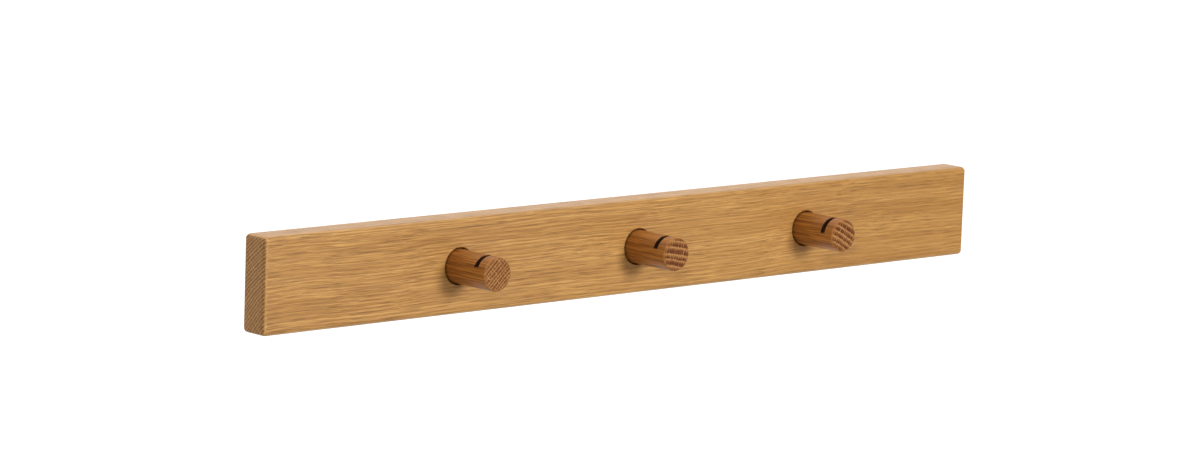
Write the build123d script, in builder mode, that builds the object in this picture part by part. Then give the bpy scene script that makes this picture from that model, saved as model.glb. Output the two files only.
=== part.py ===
"""Wall hook rack: a straight solid oak board with three round oak pegs.

Each peg stands in a shallow socket in the board's face and is held by a screw from behind.
Two keyhole plates, let into the back, hang the rack on two screws in the wall.

Row frame: +X to the right, +Z up, and the front faces -Y. The origin is the middle of the board's
back face, which lies against the wall. Depths are counted from that face towards the front, the
way Plane.XZ.offset counts them. Millimetres.
"""

from build123d import *
import os
from math import cos, radians, sin

# Board
board_length = 600.0
board_height = 60.0
board_thickness = 21.0
board_edge_round = 3.0

# Pegs: name, place along the board in spacings, and turn about the peg's own axis in degrees
pegs = [("left", -1, 0.0), ("middle", 0, 5.0), ("right", 1, 16.0)]
peg_spacing = 148.5
peg_diameter = 21.5
peg_projection = 36.0  # from the board's face to the free end
peg_end_round = 1.4
peg_foot_chamfer = 0.8

# Sockets: a little wider than the pegs, so a shadow gap shows all round each foot
socket_gap = 1.0
socket_depth = 6.0
socket_rim_chamfer = 0.4

# Saw slot across the top of each peg, which keeps a loop or a hanger from sliding off
slot_width = 3.8
slot_from_end = 7.4
slot_depth = 6.7

# Screws that hold the pegs: countersunk wood screws, 5 x 40
peg_screw_radius = 2.5
peg_screw_length = 40.0
peg_screw_head_radius = 4.8
peg_screw_sink = 0.4
peg_screw_play = 0.1  # radial play in the board; the screw grips in the peg

# Keyhole plates, one near each end of the board
plate_places = [("left", -225.0), ("right", 225.0)]
plate_length = 46.0
plate_width = 17.0
plate_thickness = 2.0
plate_inset = 0.2
plate_recess_play = 0.2
keyhole_entry_radius = 5.0
keyhole_entry_height = -4.5
keyhole_slot_radius = 2.5
keyhole_seat_height = 6.5
keyhole_pocket_radius = 6.0
keyhole_pocket_depth = 9.5

# Screws that hold the plates: countersunk wood screws, 3 x 16
plate_screw_heights = [("upper", 17.0), ("lower", -17.0)]
plate_screw_radius = 1.5
plate_screw_length = 16.0
plate_screw_head_radius = 2.9
plate_screw_sink = 0.1
plate_screw_play = 0.15

# All screws: head angle, point, and the cross recess in the head, in head or screw radii
countersink_angle = 90.0
point_length_share = 2.4
recess_arm_share = 1.05
recess_width_share = 0.27
recess_depth_share = 0.42
recess_taper = 10.0

# Worked out from the above
socket_floor = board_thickness - socket_depth
socket_radius = peg_diameter / 2 + socket_gap
peg_end = board_thickness + peg_projection
saw_slot_start = peg_end - slot_from_end - slot_width
plate_front = plate_inset + plate_thickness
keyhole_travel = keyhole_seat_height - keyhole_entry_height
keyhole_middle = (keyhole_seat_height + keyhole_entry_height) / 2


def seen_from_behind(x, z, depth):
    """A plane at this depth whose normal points back to the wall, for holes drilled from behind."""
    return Plane(origin=(x, -depth, z), x_dir=(1, 0, 0), z_dir=(0, 1, 0))


def save(builder, label):
    builder.part.label = label
    export_step(builder.part, f"parts/{label}.step")


def make_backboard():
    with BuildPart() as backboard:
        with BuildSketch(Plane.XZ):
            Rectangle(board_length, board_height)
        extrude(amount=board_thickness)
        fillet(backboard.edges(), radius=board_edge_round)

        # Peg sockets in the face, with their rims slightly broken
        with BuildSketch(Plane.XZ.offset(socket_floor)):
            with GridLocations(peg_spacing, peg_spacing, len(pegs), 1):
                Circle(socket_radius)
        extrude(amount=socket_depth, mode=Mode.SUBTRACT)
        face = backboard.faces().filter_by(Axis.Y).sort_by(Axis.Y).first
        chamfer(face.edges().filter_by(GeomType.CIRCLE), length=socket_rim_chamfer)

        # Countersunk screw holes from behind, one into each socket
        with Locations(seen_from_behind(0, 0, 0)):
            with GridLocations(peg_spacing, peg_spacing, len(pegs), 1):
                CounterSinkHole(
                    radius=peg_screw_radius + peg_screw_play,
                    counter_sink_radius=peg_screw_head_radius + peg_screw_sink,
                    depth=board_thickness,
                    counter_sink_angle=countersink_angle,
                )

        # For each keyhole plate, a shallow recess, a pocket for the wall screw's head, and pilot holes
        for _, x in plate_places:
            with BuildSketch(Plane.XZ):
                with Locations((x, 0)):
                    SlotOverall(
                        width=plate_length + 2 * plate_recess_play,
                        height=plate_width + 2 * plate_recess_play,
                        rotation=90,
                    )
            extrude(amount=plate_front, mode=Mode.SUBTRACT)
            with BuildSketch(Plane.XZ):
                with Locations((x, keyhole_middle)):
                    SlotCenterToCenter(keyhole_travel, 2 * keyhole_pocket_radius, rotation=90)
            extrude(amount=keyhole_pocket_depth, mode=Mode.SUBTRACT)
            for _, z in plate_screw_heights:
                with Locations(seen_from_behind(x, z, plate_front)):
                    Hole(plate_screw_radius, depth=plate_screw_length - plate_thickness)
    save(backboard, "backboard")


def make_peg(label, x, turn):
    """One peg, foot in its socket. A turn to the left, seen from the front, is positive."""
    across = (cos(radians(turn)), 0, sin(radians(turn)))
    with BuildPart() as peg:
        with BuildSketch(Plane.XZ.offset(socket_floor)):
            with Locations((x, 0)):
                Circle(peg_diameter / 2)
        extrude(amount=peg_end - socket_floor)
        ends = peg.faces().filter_by(GeomType.PLANE).sort_by(Axis.Y)
        fillet(ends.first.edges(), radius=peg_end_round)
        chamfer(ends.last.edges(), length=peg_foot_chamfer)

        # Saw slot: square to the peg's axis, with a flat floor
        with BuildSketch(Plane(origin=(x, -saw_slot_start, 0), x_dir=across, z_dir=(0, -1, 0))):
            with Locations((0, peg_diameter / 2 - slot_depth)):
                Rectangle(peg_diameter, peg_diameter, align=(Align.CENTER, Align.MIN))
        extrude(amount=slot_width, mode=Mode.SUBTRACT)

        # Pilot hole in the foot, as deep as the screw reaches
        with Locations(seen_from_behind(x, 0, socket_floor)):
            Hole(peg_screw_radius, depth=peg_screw_sink + peg_screw_length - socket_floor)
    save(peg, label)


def make_screw(label, x, z, head_depth, radius, head_radius, length):
    """A countersunk wood screw pointing to the front, its head's flat face at this depth."""
    cone_height = head_radius - radius
    with BuildPart() as screw:
        with BuildSketch(Plane(origin=(x, -head_depth, z), x_dir=(1, 0, 0), z_dir=(0, 0, 1))):
            with BuildLine():
                Polyline(
                    (0, 0),
                    (head_radius, 0),
                    (radius, -cone_height),
                    (radius, -length + point_length_share * radius),
                    (0, -length),
                    close=True,
                )
            make_face()
        revolve(axis=Axis((x, -head_depth, z), (0, 1, 0)))

        # Cross recess
        with BuildSketch(Plane.XZ.offset(head_depth)):
            with Locations((x, z)):
                arm = recess_arm_share * head_radius
                Rectangle(arm, recess_width_share * head_radius)
                Rectangle(recess_width_share * head_radius, arm)
        extrude(amount=recess_depth_share * head_radius, taper=recess_taper, mode=Mode.SUBTRACT)
    save(screw, label)


def make_keyhole_plate(label, x):
    with BuildPart() as plate:
        with BuildSketch(Plane.XZ.offset(plate_inset)):
            with Locations((x, 0)):
                SlotOverall(plate_length, plate_width, rotation=90)
            with Locations((x, keyhole_middle)):
                SlotCenterToCenter(
                    keyhole_travel, 2 * keyhole_slot_radius, rotation=90, mode=Mode.SUBTRACT
                )
            with Locations((x, keyhole_entry_height)):
                Circle(keyhole_entry_radius, mode=Mode.SUBTRACT)
        extrude(amount=plate_thickness)
        for _, z in plate_screw_heights:
            with Locations(seen_from_behind(x, z, plate_inset)):
                CounterSinkHole(
                    radius=plate_screw_radius + plate_screw_play,
                    counter_sink_radius=plate_screw_head_radius + plate_screw_sink,
                    depth=plate_thickness,
                    counter_sink_angle=countersink_angle,
                )
    save(plate, label)


os.makedirs("parts", exist_ok=True)

make_backboard()

for side, step, turn in pegs:
    x = step * peg_spacing
    make_peg(f"peg_{side}", x, turn)
    make_screw(
        f"peg_screw_{side}",
        x,
        0,
        peg_screw_sink,
        peg_screw_radius,
        peg_screw_head_radius,
        peg_screw_length,
    )

for side, x in plate_places:
    make_keyhole_plate(f"keyhole_plate_{side}", x)
    for end, z in plate_screw_heights:
        make_screw(
            f"plate_screw_{side}_{end}",
            x,
            z,
            plate_inset + plate_screw_sink,
            plate_screw_radius,
            plate_screw_head_radius,
            plate_screw_length,
        )
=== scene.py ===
"""Looks of the wall hook rack: oiled solid oak with real end grain, zinc plated hardware, soft light.

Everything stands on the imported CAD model. Lengths are in metres, apart from the wood shader, which
works in millimetres because a growth ring is a few of them.
"""

import math
from collections import namedtuple

import bpy
from mathutils import Matrix, Vector


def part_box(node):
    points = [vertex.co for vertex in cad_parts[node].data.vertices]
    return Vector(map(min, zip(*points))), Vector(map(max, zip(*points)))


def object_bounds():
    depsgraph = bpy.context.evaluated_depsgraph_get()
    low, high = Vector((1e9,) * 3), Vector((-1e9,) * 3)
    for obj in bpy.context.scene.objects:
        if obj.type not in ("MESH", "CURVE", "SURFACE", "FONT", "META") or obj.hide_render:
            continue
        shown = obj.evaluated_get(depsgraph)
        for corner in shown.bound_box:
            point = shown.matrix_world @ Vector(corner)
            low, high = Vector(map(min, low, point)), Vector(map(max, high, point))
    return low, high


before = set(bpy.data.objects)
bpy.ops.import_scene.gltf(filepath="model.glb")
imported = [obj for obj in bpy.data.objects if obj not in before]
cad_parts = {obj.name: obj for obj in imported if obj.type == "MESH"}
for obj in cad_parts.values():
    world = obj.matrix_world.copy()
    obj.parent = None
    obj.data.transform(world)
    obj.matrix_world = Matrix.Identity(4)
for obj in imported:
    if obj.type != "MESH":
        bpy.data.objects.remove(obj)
cad_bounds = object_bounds()

MM_IN_METRE = 1000.0

# Camera: its angles in degrees, its distance, and the point on the board's face that it looks at
CAMERA_AZIMUTH = -42.20
CAMERA_ELEVATION = 8.96
CAMERA_ROLL = 2.00
CAMERA_DISTANCE = 2.894
CAMERA_TARGET = Vector((-0.0335, -0.021, 0.0143))
CAMERA_LENS = 137.7
SENSOR_WIDTH = 36.0

# Studio floor: how far below the rack it lies, its look, and its glow in front of the rack
FLOOR_DROP = 0.45
FLOOR_SIZE = 60.0
FLOOR_COLOUR = (0.32, 0.32, 0.32)
FLOOR_ROUGHNESS = 0.9
FLOOR_GLOW = 0.05

# Between these two places along Y, the floor's glow rises to that of a lit sweep of paper
SWEEP_STARTS = -0.1
SWEEP_FULL = 0.55
SWEEP_GLOW = 0.9

# Light from all round: a dim room in front and a bright backdrop behind. The two limits between
# which it rises are the Y part of the direction that it comes from.
ROOM_LIGHT = 0.10
BACKDROP_LIGHT = 1.4
ROOM_ENDS = -0.3
BACKDROP_FULL = 0.6
WHITE = (1.0, 1.0, 1.0)

# Soft boxes, all aimed at the origin: place and size in metres, and power in watts
SOFT_BOXES = {
    "key": ((0.42, -3.2, 0.72), (0.8, 0.8), 70.0),
    "strip": ((-2.2, -1.8, 1.4), (0.6, 1.2), 16.0),
    "top": ((0.2, -0.5, 2.4), (2.4, 1.6), 18.0),
}

# The board's middle, in metres, and its pith from there along Y and Z, in millimetres
BOARD_MIDDLE = (0.0, -0.0105, 0.0)
BOARD_PITH = (-110.0, -120.0)

# A peg, in millimetres: its radius, how far off its pith is, and its saw slot
PEG_RADIUS = 10.75
PEG_PITH_DISTANCE = 90.0
SLOT_FROM_END = 7.4
SLOT_WIDTH = 3.8
SLOT_MARGIN = 0.05

# Depths under a peg's round side, in millimetres: where the slot's painted shade and scorch starts and
# is full, and where the rubbed rim of the end is full and stops
SLOT_SHADE_STARTS = 0.15
SLOT_SHADE_FULL = 0.45
RIM_FULL = 0.6
RIM_ENDS = 2.6

# Oak, in millimetres: how far the grain drifts along a piece and locally, how ragged the rings and
# the rays are, the half width of a ray where it starts and stops fading, and the relief's depth
SLOW_DRIFT = 7.0
LOCAL_DRIFT = 3.0
RAGGED_RINGS = 1.4
RAGGED_RAYS = 1.2
RAY_SOLID = 0.10
RAY_GONE = 0.38
RELIEF = 0.1

# Along the board, in millimetres from its middle: its streaks calm down and its broad bands build up
STREAKS_CALM_FROM = -200.0
BANDS_BUILD_FROM = 0.0
BOARD_RIGHT = 280.0


def linear(r, g, b):
    """A colour given as sRGB 0 to 255, as the shader wants it."""
    return tuple(
        c / 12.92 if c <= 0.04045 else ((c + 0.055) / 1.055) ** 2.4 for c in (r / 255, g / 255, b / 255)
    )


# Colours of one piece of oak. Along the grain: the ground, fine streaks, broad streaks, open pores and
# ray flecks. On the end grain: dense late wood, porous early wood, pores, rays and ring edges.
Tones = namedtuple("Tones", "ground streak broad pore fleck end_late end_early end_pore end_ray")

# One piece of oak: how strongly its streaks, broad bands, rings, rays and ring edges show, how pale
# its end is, and its specular level. Most are from 0 to 1, and a peg's streaks are a little stronger.
Figure = namedtuple("Figure", "streaks bands rings rays ring_edge pale_end gloss")

BOARD_TONES = Tones(
    ground=linear(224, 170, 94),
    streak=linear(146, 94, 36),
    broad=linear(182, 126, 54),
    pore=linear(104, 62, 24),
    fleck=linear(226, 184, 124),
    end_late=linear(178, 126, 64),
    end_early=linear(124, 80, 30),
    end_pore=linear(66, 38, 8),
    end_ray=linear(206, 160, 92),
)
PEG_TONES = Tones(
    ground=linear(202, 132, 56),
    streak=linear(102, 54, 16),
    broad=linear(156, 90, 28),
    pore=linear(68, 34, 10),
    fleck=linear(204, 146, 76),
    end_late=linear(164, 108, 56),
    end_early=linear(104, 52, 22),
    end_pore=linear(62, 28, 6),
    end_ray=linear(196, 144, 86),
)
# Painted shade inside the pegs' saw slots: a dark brown that also stands for saw scorch
SLOT_SHADE_AND_SCORCH = linear(72, 44, 24)

# Zinc plating, as linear colours: bluish on the plates, yellower on the screws, dull where clouded
PLATE_ZINC = (0.44, 0.44, 0.43)
SCREW_ZINC = (0.50, 0.46, 0.36)
CLOUDED_ZINC = (0.24, 0.24, 0.22)


class Value:
    """A number in a material's node tree, for use in plain arithmetic."""

    def __init__(self, shader, socket):
        self.shader = shader
        self.socket = socket

    def __add__(self, other):
        return self.shader.math("ADD", self, other)

    def __sub__(self, other):
        return self.shader.math("SUBTRACT", self, other)

    def __rsub__(self, other):
        return self.shader.math("SUBTRACT", other, self)

    def __mul__(self, other):
        return self.shader.math("MULTIPLY", self, other)

    def __truediv__(self, other):
        return self.shader.math("DIVIDE", self, other)


class Shader:
    """Writes one material's node tree. Numbers, colours and node values go in alike."""

    def __init__(self, name):
        self.material = bpy.data.materials.new(name)
        self.material.use_nodes = True
        self.tree = self.material.node_tree
        self.surface = self.tree.nodes["Principled BSDF"]

    def put(self, socket, value):
        if isinstance(value, Value):
            self.tree.links.new(value.socket, socket)
        elif isinstance(value, tuple) and len(value) == 3 and len(socket.default_value) == 4:
            socket.default_value = (*value, 1.0)
        else:
            socket.default_value = value

    def node(self, kind, values, out=0, **settings):
        made = self.tree.nodes.new(kind)
        for name, value in settings.items():
            setattr(made, name, value)
        for key, value in values.items():
            self.put(made.inputs[key], value)
        return Value(self, made.outputs[out])

    def finish(self, **values):
        """Sets the surface's inputs, such as Base_Color or Roughness."""
        for name, value in values.items():
            self.put(self.surface.inputs[name.replace("_", " ")], value)
        return self.material

    def math(self, operation, a, b=0.0):
        return self.node("ShaderNodeMath", {0: a, 1: b}, operation=operation)

    def combine(self, x, y, z):
        return self.node("ShaderNodeCombineXYZ", {0: x, 1: y, 2: z})

    def split(self, vector):
        made = self.tree.nodes.new("ShaderNodeSeparateXYZ")
        self.put(made.inputs[0], vector)
        return [Value(self, socket) for socket in made.outputs]

    def span(self, value, low, high, to_low=0.0, to_high=1.0):
        """Maps low..high smoothly to to_low..to_high, held at both ends."""
        return self.node(
            "ShaderNodeMapRange",
            {"Value": value, "From Min": low, "From Max": high, "To Min": to_low, "To Max": to_high},
            interpolation_type="SMOOTHSTEP",
        )

    def noise(self, vector, detail=2.0, roughness=0.5, out=0):
        """Noise centred on 0.5, with features about one unit of the vector wide."""
        values = {"Vector": vector, "Scale": 1.0, "Detail": detail, "Roughness": roughness}
        return self.node("ShaderNodeTexNoise", values, out)

    def mix(self, share, a, b):
        """Colour a with a share of colour b. Sockets go by number here, because their names repeat."""
        made = self.tree.nodes.new("ShaderNodeMix")
        made.data_type = "RGBA"
        self.put(made.inputs[0], share)
        self.put(made.inputs[6], a)
        self.put(made.inputs[7], b)
        return Value(self, made.outputs[2])


class Oak(Shader):
    """Solid oak in three dimensions, so that faces, edges and end grain all agree.

    along is the axis of the grain, and middle is the piece's middle. pith is where the tree's
    centre passes, in millimetres from that point along the two other axes. Rings are cylinders round
    it, rays are thin sheets that point at it, and pores run along the grain.
    """

    def __init__(
        self, name, along, middle, pith, ring_width, ray_gap, seed, tones, figure, round_section
    ):
        super().__init__(name)
        self.tones = tones
        self.figure = figure
        self.seed = seed
        across = [axis for axis in (0, 1, 2) if axis != along]
        place = self.split(self.node("ShaderNodeTexCoord", {}, out="Object"))
        normal = self.split(self.node("ShaderNodeNewGeometry", {}, out="Normal"))
        self.round_section = round_section
        self.grain = (place[along] - middle[along]) * MM_IN_METRE
        self.straight_u = (place[across[0]] - middle[across[0]]) * MM_IN_METRE
        self.straight_v = (place[across[1]] - middle[across[1]]) * MM_IN_METRE
        normal = [self.math("ABSOLUTE", part) for part in normal]
        self.end = self.span(normal[along], 0.45, 0.8)
        self.side = self.span(normal[along], 0.2, 0.7, 1.0, 0.0)
        if round_section:
            flattest = self.math("SQRT", 1.0 - normal[along] * normal[along])
        else:
            flattest = self.math("MAXIMUM", normal[across[0]], normal[across[1]])
        flattest = self.math("MAXIMUM", flattest, normal[along])
        self.edge = self.span(flattest, 0.82, 0.99, 1.0, 0.0)
        self.wander()
        self.find_rings(pith, ring_width)
        self.find_rays(pith, ray_gap)
        self.find_pores()

    def stretched(self, along, across):
        """The place in the wood, scaled apart along and across the grain."""
        return self.combine(self.grain * along, self.u * across, self.v * across)

    def wander(self):
        """Lets the grain drift slowly along the piece, and waver locally."""
        slow_place = self.combine(self.grain * 0.005, self.seed, 1.0)
        slow = self.split(self.noise(slow_place, 1.0, out="Color"))
        self.u = self.straight_u + (slow[0] - 0.5) * SLOW_DRIFT
        self.v = self.straight_v + (slow[1] - 0.5) * SLOW_DRIFT
        local = self.split(self.noise(self.stretched(0.012, 0.03), 2.0, out="Color"))
        self.u = self.u + (local[0] - 0.5) * LOCAL_DRIFT
        self.v = self.v + (local[1] - 0.5) * LOCAL_DRIFT
        self.ragged = self.split(self.noise(self.stretched(0.06, 0.9), 2.0, 0.6, out="Color"))

    def find_rings(self, pith, ring_width):
        """Growth rings of uneven width: porous early wood starts sharply and fades into late wood."""
        du = self.u - pith[0]
        dv = self.v - pith[1]
        self.radius = self.math("SQRT", du * du + dv * dv)
        self.round_about = self.math("ARCTAN2", dv, du) * math.hypot(*pith)
        rings = (self.radius + (self.ragged[0] - 0.5) * RAGGED_RINGS) * (1.0 / ring_width)
        uneven = self.noise(self.combine(rings * 0.45, self.seed, 3.0), 1.0)
        phase = self.math("FRACT", rings + (uneven - 0.5) * 1.1)
        self.porous = self.span(phase, 0.06, 0.2) * self.span(phase, 0.45, 0.9, 1.0, 0.0)
        self.ring_edge = self.span(self.math("ABSOLUTE", phase - 0.5), 0.33, 0.45)

    def find_rays(self, pith, ray_gap):
        """Rays of uneven spacing and strength, which point at the pith."""
        across = (self.round_about + (self.ragged[1] - 0.5) * RAGGED_RAYS) * (1.0 / ray_gap)
        gap = self.node(
            "ShaderNodeTexVoronoi",
            {"W": across + self.seed, "Scale": 1.0, "Randomness": 0.8},
            voronoi_dimensions="1D",
            feature="DISTANCE_TO_EDGE",
        )
        sheet = self.span(gap, RAY_SOLID / ray_gap, RAY_GONE / ray_gap, 1.0, 0.0)
        broken = self.noise(self.combine(self.grain * 0.05, across * 0.9, self.radius * 0.25), 2.0)
        self.ray = sheet * self.span(broken, 0.36, 0.68)

    def find_pores(self):
        """Long fine vessels, dots across the grain and dashes along it, mostly in early wood."""
        cells = self.tree.nodes.new("ShaderNodeTexVoronoi")
        self.put(cells.inputs["Vector"], self.stretched(0.045, 2.1))
        cells.inputs["Scale"].default_value = 1.0
        distance = Value(self, cells.outputs["Distance"])
        chance = self.split(Value(self, cells.outputs["Color"]))[0]
        size = (self.porous * 0.28 + 0.16) * self.span(chance, 0.25, 0.8, 0.3, 1.0)
        self.vessel = self.span(distance / size, 0.6, 1.0, 1.0, 0.0)

    def long_grain(self):
        """Colour along the grain with a painted edge highlight, and the fine streaks that also shape
        the surface.
        """
        tones, figure = self.tones, self.figure
        fine = self.noise(self.stretched(0.05, 3.2), 3.0, 0.7)
        middling = self.noise(self.stretched(0.014, 1.7), 3.0, 0.65)
        short = self.noise(self.stretched(0.07, 1.7), 3.0, 0.65)
        bands = self.noise(self.stretched(0.0035, 0.11), 2.0)
        calmer = self.span(self.grain, STREAKS_CALM_FROM, BOARD_RIGHT, 1.05, 0.75)
        build_up = self.span(self.grain, BANDS_BUILD_FROM, BOARD_RIGHT, 0.0, 0.35)
        broad = self.span(bands, 0.38, 0.62) * figure.bands + build_up
        colour = self.mix(broad, tones.ground, tones.broad)
        colour = self.mix(self.ray * 0.3, colour, tones.fleck)
        share = calmer * (self.side * 0.7 + 0.3)
        long_line = middling + fine * 0.3 + (self.porous - 0.4) * figure.rings
        long_lines = self.span(long_line, 0.46, 0.84) * share * figure.streaks * 0.65
        colour = self.mix(long_lines, colour, tones.streak)
        short_lines = self.span(short, 0.35, 0.75) * share * figure.streaks * 0.35
        colour = self.mix(short_lines, colour, tones.streak)
        thin = self.noise(self.stretched(0.018, 2.0), 3.0, 0.6)
        thin_lines = self.span(thin, 0.54, 0.68) * share * 0.6
        colour = self.mix(thin_lines, colour, tones.pore)
        colour = self.mix(self.vessel * self.side * 0.5, colour, tones.pore)
        # Edges painted paler: a painted highlight where light catches the roundings, together with some
        # wear
        edge_highlight_and_wear = self.edge * self.span(fine, 0.35, 0.65, 0.3, 0.0)
        return self.mix(edge_highlight_and_wear, colour, tones.fleck), fine

    def end_grain(self):
        """Colour of a face cut across the grain."""
        tones, figure = self.tones, self.figure
        mottled = self.noise(self.combine(self.u * 0.9, self.v * 0.9, self.seed), 3.0, 0.65)
        colour = self.mix(self.porous, tones.end_late, tones.end_early)
        colour = self.mix(self.span(mottled, 0.35, 0.7, 0.0, 0.5), colour, tones.end_early)
        worn_edge = 0.3 * figure.ring_edge
        edge = self.ring_edge * self.span(mottled, 0.42, 0.62, figure.ring_edge, worn_edge)
        colour = self.mix(edge, colour, tones.end_ray)
        colour = self.mix(self.vessel * 0.6, colour, tones.end_pore)
        colour = self.mix(self.ray * figure.rays, colour, tones.end_ray)
        colour = self.mix(figure.pale_end, colour, tones.end_ray)
        if self.round_section:
            # Sanding has rubbed the rim of a peg's end paler
            rubbed = self.span(self.from_axis(), PEG_RADIUS - RIM_ENDS, PEG_RADIUS - RIM_FULL, 0.0, 0.6)
            colour = self.mix(rubbed * self.span(mottled, 0.3, 0.6, 1.0, 0.5), colour, tones.end_late)
        return colour

    def from_axis(self):
        """The distance from the middle line of a peg."""
        return self.math("SQRT", self.straight_u * self.straight_u + self.straight_v * self.straight_v)

    def paint_slot_shade(self, colour, free_end):
        """Paints shade inside a peg's saw slot: a dark brown that stands for the slot's shade and the
        saw's scorch.
        """
        depth = self.grain - free_end
        full, starts = PEG_RADIUS - SLOT_SHADE_FULL, PEG_RADIUS - SLOT_SHADE_STARTS
        inside = self.span(self.from_axis(), full, starts, 1.0, 0.0)
        past_front = self.math("GREATER_THAN", depth, SLOT_FROM_END - SLOT_MARGIN)
        before_back = self.math("LESS_THAN", depth, SLOT_FROM_END + SLOT_WIDTH + SLOT_MARGIN)
        # Where the slot's painted shade and scorch goes
        slot_shade_and_scorch = inside * past_front * before_back
        return self.mix(slot_shade_and_scorch, colour, SLOT_SHADE_AND_SCORCH)

    def finish_wood(self, free_end=None):
        """The whole material. free_end is where a peg's end is, in millimetres along the grain."""
        long_colour, fine = self.long_grain()
        colour = self.mix(self.end, long_colour, self.end_grain())
        if free_end is not None:
            # Painted shade in the peg's saw slot
            colour = self.paint_slot_shade(colour, free_end)
        roughness = self.span(fine, 0.3, 0.7, 0.40, 0.54) + self.vessel * 0.2
        roughness = roughness + self.end * 0.25 - self.edge * 0.08
        height = fine * 0.3 - self.vessel
        relief = {"Strength": 0.5, "Distance": RELIEF / MM_IN_METRE, "Height": height}
        normal = self.node("ShaderNodeBump", relief)
        return self.finish(
            Base_Color=colour,
            Roughness=roughness,
            Normal=normal,
            Specular_IOR_Level=self.figure.gloss,
        )


def zinc(name, colour, roughness, brushed):
    """Zinc plated steel with clouding and a faint grain. brushed is how fine that is on each axis."""
    steel = Shader(name)
    place = steel.node("ShaderNodeTexCoord", {}, out="Object")
    cloud_scale = (300.0, 300.0, 300.0)
    clouds = steel.noise(steel.node("ShaderNodeMapping", {"Vector": place, "Scale": cloud_scale}), 3.0)
    lines = steel.noise(steel.node("ShaderNodeMapping", {"Vector": place, "Scale": brushed}), 2.0)
    return steel.finish(
        Metallic=1.0,
        Base_Color=steel.mix(steel.span(clouds, 0.3, 0.7, 0.0, 0.5), colour, CLOUDED_ZINC),
        Roughness=steel.span(lines, 0.3, 0.7, roughness - 0.08, roughness + 0.08),
    )


def clothe(node, material):
    """Gives a CAD node one material."""
    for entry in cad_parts[node].material_slots:
        entry.material = material


def dress_board():
    figure = Figure(
        streaks=1.0, bands=0.35, rings=0.12, rays=0.5, ring_edge=0.25, pale_end=0.0, gloss=0.55
    )
    wood = Oak(
        "oak_board",
        along=0,
        middle=BOARD_MIDDLE,
        pith=BOARD_PITH,
        ring_width=1.9,
        ray_gap=1.9,
        seed=3.0,
        tones=BOARD_TONES,
        figure=figure,
        round_section=False,
    )
    clothe("backboard", wood.finish_wood())


def dress_pegs():
    # For each peg: the way from its middle to the pith, in degrees from +X towards +Z, the widths of
    # its rings and of the gaps between its rays, how strongly its ring edges show, how pale its end
    # is, and the seed of its noise
    for node, angle, ring_width, ray_gap, ring_edge, pale_end, seed in (
        ("peg_left", -45.0, 2.1, 2.0, 0.9, 0.1, 11.0),
        ("peg_middle", -100.0, 3.8, 1.8, 0.8, 0.0, 23.0),
        ("peg_right", -118.0, 3.6, 1.9, 0.8, 0.0, 37.0),
    ):
        low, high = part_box(node)
        middle = (Vector(low) + Vector(high)) / 2
        way = math.radians(angle)
        figure = Figure(
            streaks=1.1,
            bands=0.4,
            rings=0.08,
            rays=0.75,
            ring_edge=ring_edge,
            pale_end=pale_end,
            gloss=0.2,
        )
        wood = Oak(
            "oak_" + node,
            along=1,
            middle=middle,
            pith=(PEG_PITH_DISTANCE * math.cos(way), PEG_PITH_DISTANCE * math.sin(way)),
            ring_width=ring_width,
            ray_gap=ray_gap,
            seed=seed,
            tones=PEG_TONES,
            figure=figure,
            round_section=True,
        )
        free_end = (low[1] - middle[1]) * MM_IN_METRE
        clothe(node, wood.finish_wood(free_end))


def dress_hardware():
    plate = zinc("zinc_plate", PLATE_ZINC, 0.36, (200.0, 200.0, 4000.0))
    screw = zinc("zinc_screw", SCREW_ZINC, 0.28, (900.0, 900.0, 900.0))
    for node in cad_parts:
        if node.startswith("keyhole_plate"):
            clothe(node, plate)
        elif "screw" in node:
            clothe(node, screw)


def softbox(name, place, size, power):
    data = bpy.data.lights.new(name, "AREA")
    data.shape = "RECTANGLE"
    data.size, data.size_y = size
    data.energy = power
    made = bpy.data.objects.new(name, data)
    bpy.context.scene.collection.objects.link(made)
    made.location = place
    made.rotation_mode = "QUATERNION"
    made.rotation_quaternion = (-Vector(place)).to_track_quat("-Z", "Y")


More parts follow.
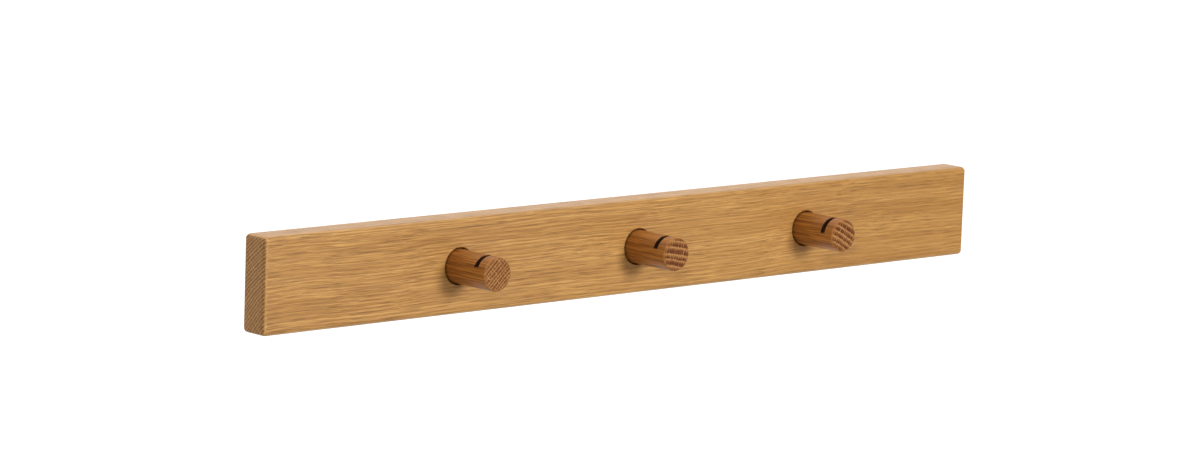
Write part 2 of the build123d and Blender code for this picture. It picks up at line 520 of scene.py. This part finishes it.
def light_room(scene):
    """Light from all round, by its direction: a dim room in front and a bright backdrop behind."""
    world = bpy.data.worlds.new("studio")
    scene.world = world
    world.use_nodes = True
    tree = world.node_tree
    background = tree.nodes["Background"]
    direction = tree.nodes.new("ShaderNodeTexCoord")
    axes = tree.nodes.new("ShaderNodeSeparateXYZ")
    tree.links.new(direction.outputs["Generated"], axes.inputs[0])
    ramp = tree.nodes.new("ShaderNodeMapRange")
    ramp.interpolation_type = "SMOOTHSTEP"
    tree.links.new(axes.outputs["Y"], ramp.inputs["Value"])
    ramp.inputs["From Min"].default_value = ROOM_ENDS
    ramp.inputs["From Max"].default_value = BACKDROP_FULL
    ramp.inputs["To Min"].default_value = ROOM_LIGHT
    ramp.inputs["To Max"].default_value = BACKDROP_LIGHT
    tree.links.new(ramp.outputs["Result"], background.inputs["Strength"])
    background.inputs["Color"].default_value = (*WHITE, 1.0)


def lay_floor(scene):
    """A flat grey floor. Behind the rack it glows, where it stands in for a lit sweep of paper."""
    mesh = bpy.data.meshes.new("floor")
    half = FLOOR_SIZE / 2
    low = cad_bounds[0].z - FLOOR_DROP
    corners = [(-half, -half, low), (half, -half, low), (half, half, low), (-half, half, low)]
    mesh.from_pydata(corners, [], [(0, 1, 2, 3)])
    floor = bpy.data.objects.new("floor", mesh)
    scene.collection.objects.link(floor)
    pale = Shader("floor")
    place = pale.node("ShaderNodeTexCoord", {}, out="Object")
    glow = pale.span(pale.split(place)[1], SWEEP_STARTS, SWEEP_FULL, FLOOR_GLOW, SWEEP_GLOW)
    material = pale.finish(
        Base_Color=FLOOR_COLOUR,
        Roughness=FLOOR_ROUGHNESS,
        Emission_Color=WHITE,
        Emission_Strength=glow,
    )
    mesh.materials.append(material)


def studio():
    scene = bpy.context.scene
    scene.view_settings.view_transform = "Standard"
    light_room(scene)
    lay_floor(scene)
    for name, (place, size, power) in SOFT_BOXES.items():
        softbox(name, place, size, power)


def camera():
    data = bpy.data.cameras.new("camera")
    data.lens = CAMERA_LENS
    data.sensor_width = SENSOR_WIDTH
    data.sensor_fit = "HORIZONTAL"
    data.clip_start, data.clip_end = 0.05, 100.0
    made = bpy.data.objects.new("camera", data)
    bpy.context.scene.collection.objects.link(made)
    azimuth, elevation = math.radians(CAMERA_AZIMUTH), math.radians(CAMERA_ELEVATION)
    back = Vector(
        (
            math.sin(azimuth) * math.cos(elevation),
            -math.cos(azimuth) * math.cos(elevation),
            math.sin(elevation),
        )
    )
    made.location = CAMERA_TARGET + back * CAMERA_DISTANCE
    made.rotation_mode = "QUATERNION"
    upright = (-back).to_track_quat("-Z", "Y")
    roll = Matrix.Rotation(math.radians(CAMERA_ROLL), 3, "Z").to_quaternion()
    made.rotation_quaternion = upright @ roll
    bpy.context.scene.camera = made


dress_board()
dress_pegs()
dress_hardware()
studio()
camera()
